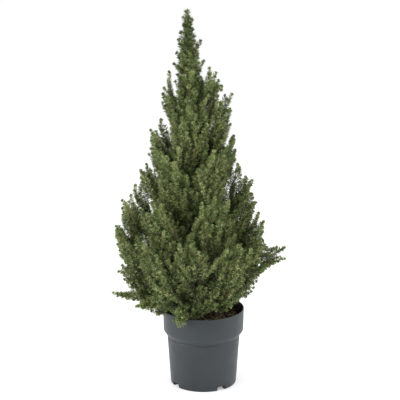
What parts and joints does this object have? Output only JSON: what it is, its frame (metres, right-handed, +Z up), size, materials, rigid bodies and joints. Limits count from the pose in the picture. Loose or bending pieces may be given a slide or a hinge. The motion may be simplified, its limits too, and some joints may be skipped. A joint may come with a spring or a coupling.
{
  "type": "potted dwarf alberta spruce",
  "caption": "Potted dwarf Alberta spruce: a dense cone of needle foliage on one leaning stem, in a round plastic nursery pot with a deep collar and drainage arches.",
  "frame": {"origin": "middle of the pot's flat underside, where the plant stands on the ground", "axes": "+Z up the plant, -Y its front, +X its right as seen from the front"},
  "size_m": [0.408, 0.3279, 0.878],
  "materials": {
    "pot_plastic": "satin slate grey polypropylene",
    "peat": "damp, crumbly dark peat",
    "bark": "rough grey-brown bark",
    "needles": "dull olive green needles, matt"
  },
  "bodies": {
    "root": {"pot": "pot_plastic", "soil": "peat", "trunk": "bark", "bough_belly_back_left": "bark", "bough_belly_back_right": "bark", "bough_belly_front": "bark", "bough_belly_front_left": "bark", "bough_belly_front_right": "bark", "bough_belly_left": "bark", "bough_belly_right": "bark", "bough_broad_back_left": "bark", "bough_broad_back_right": "bark", "bough_broad_front_left": "bark", "bough_broad_front_right": "bark", "bough_broad_left": "bark", "bough_broad_right": "bark", "bough_skirt_back": "bark", "bough_skirt_front": "bark", "bough_skirt_front_left": "bark", "bough_skirt_front_right": "bark", "bough_skirt_left": "bark", "bough_skirt_right": "bark", "belly_back_left": "needles", "belly_back_right": "needles", "belly_front": "needles", "belly_front_left": "needles", "belly_front_right": "needles", "belly_left": "needles", "belly_right": "needles", "broad_back_left": "needles", "broad_back_right": "needles", "broad_front_left": "needles", "broad_front_right": "needles", "broad_left": "needles", "broad_right": "needles", "crest_back": "needles", "crest_left": "needles", "crest_right": "needles", "leader_spire": "needles", "left_arm": "needles", "left_swag": "needles", "middle_back": "needles", "middle_front_left": "needles", "middle_front_right": "needles", "middle_left": "needles", "middle_right": "needles", "right_arm_lower": "needles", "right_arm_upper": "needles", "rim_tuft": "needles", "rim_tuft_left": "needles", "skirt_back": "needles", "skirt_front": "needles", "skirt_front_left": "needles", "skirt_front_right": "needles", "skirt_left": "needles", "skirt_right": "needles", "upper_back": "needles", "upper_front": "needles", "upper_left": "needles", "upper_right": "needles"}
  },
  "joints": []
}
